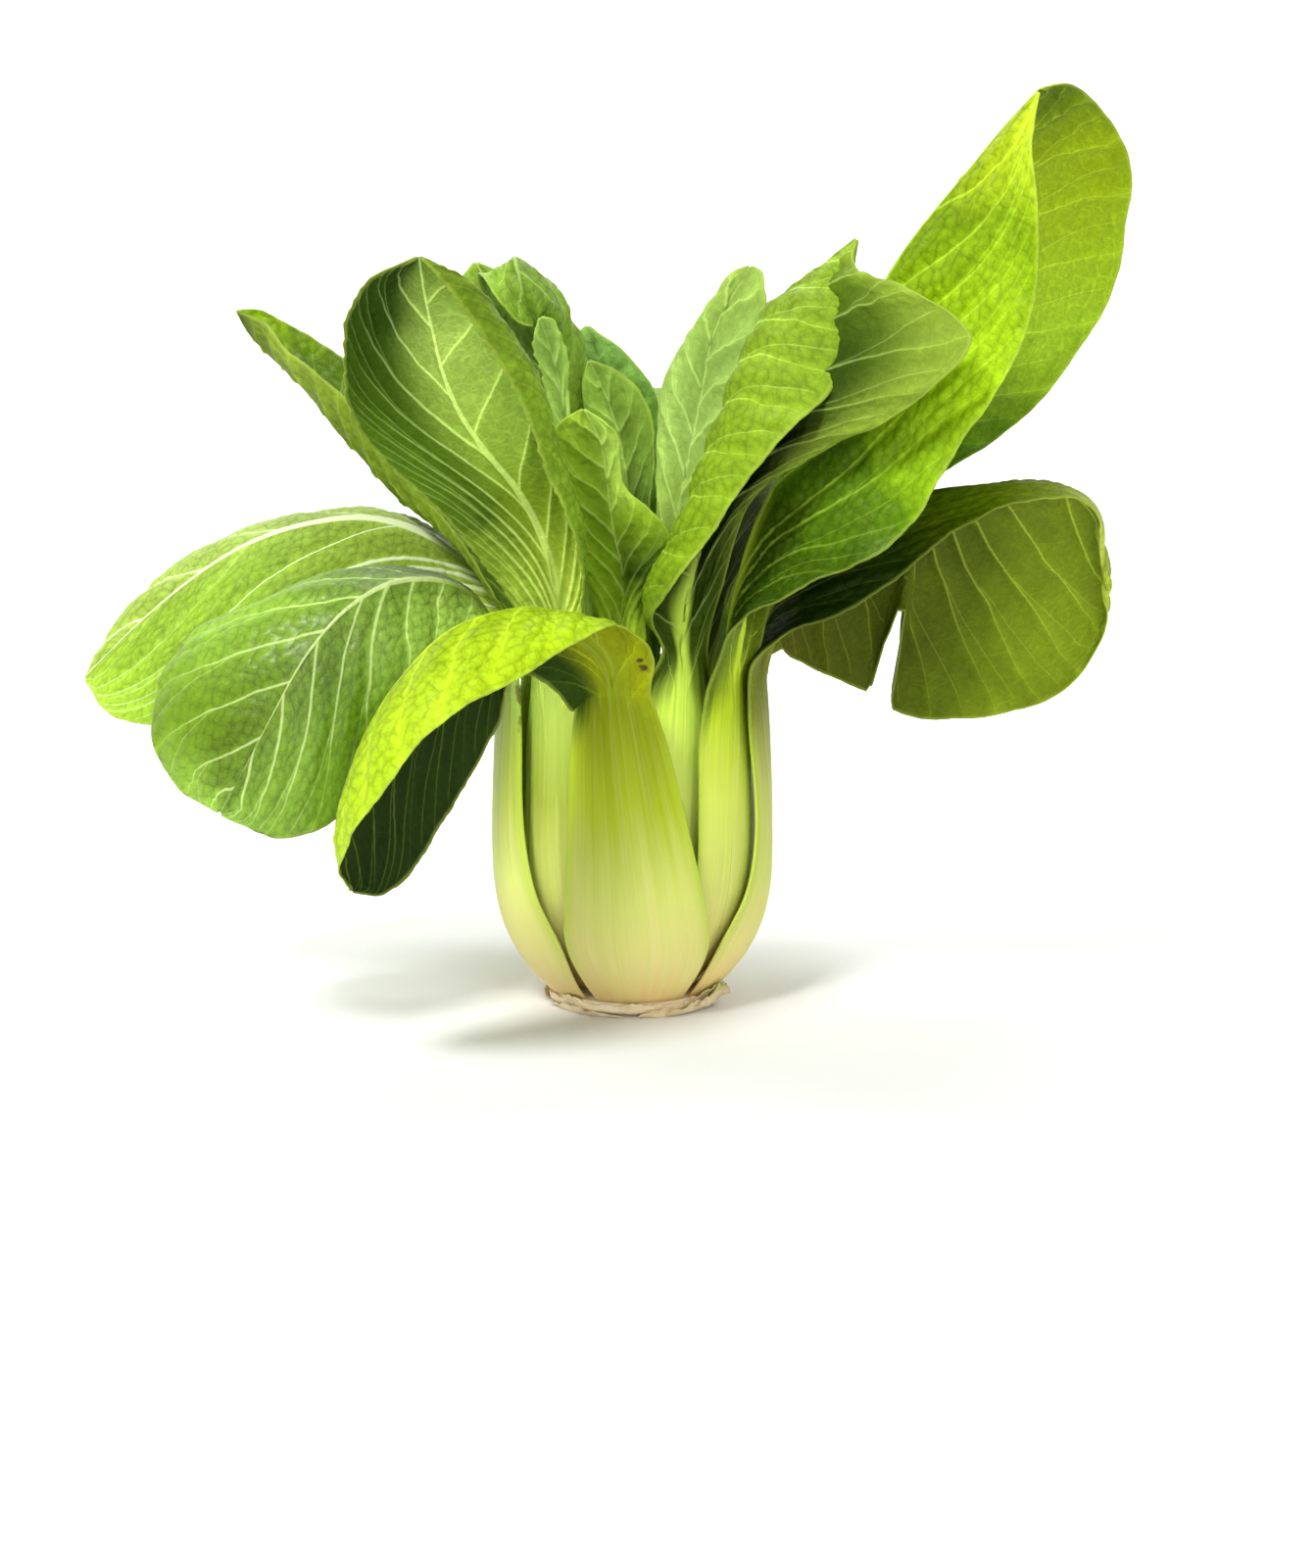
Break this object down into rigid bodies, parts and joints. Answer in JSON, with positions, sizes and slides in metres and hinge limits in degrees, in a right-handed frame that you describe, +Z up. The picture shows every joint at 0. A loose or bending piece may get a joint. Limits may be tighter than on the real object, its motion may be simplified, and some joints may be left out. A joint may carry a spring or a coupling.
{
  "type": "bok choy head",
  "caption": "Fresh head of bok choy standing on its cut stem: pale channelled stalks in a bulging base, broad leaf blades arching out and up.",
  "frame": {"origin": "middle of the flat cut face under the stem", "axes": "+Z up along the head, -Y towards the camera of the picture, +X to the right in the picture"},
  "size_m": [0.3272, 0.246, 0.2789],
  "materials": {
    "leaf": "living leaf, glossy blade and pale ribbed stalk",
    "stem": "cut, slightly dry stem"
  },
  "bodies": {
    "root": {"stem": "stem", "leaf_front": "leaf", "leaf_left": "leaf", "leaf_right": "leaf", "leaf_back_right": "leaf", "leaf_back_left": "leaf", "leaf_spoon": "leaf", "leaf_tall_right": "leaf", "leaf_far_left": "leaf", "leaf_back": "leaf", "leaf_far_right": "leaf", "leaf_folded": "leaf", "leaf_trough_left": "leaf", "leaf_inner_back_left": "leaf", "leaf_inner_back_right": "leaf", "leaf_heart_left": "leaf", "leaf_heart_right": "leaf", "leaf_heart_back": "leaf", "leaf_heart_far": "leaf", "leaf_heart": "leaf", "leaf_heart_small": "leaf"}
  },
  "joints": []
}
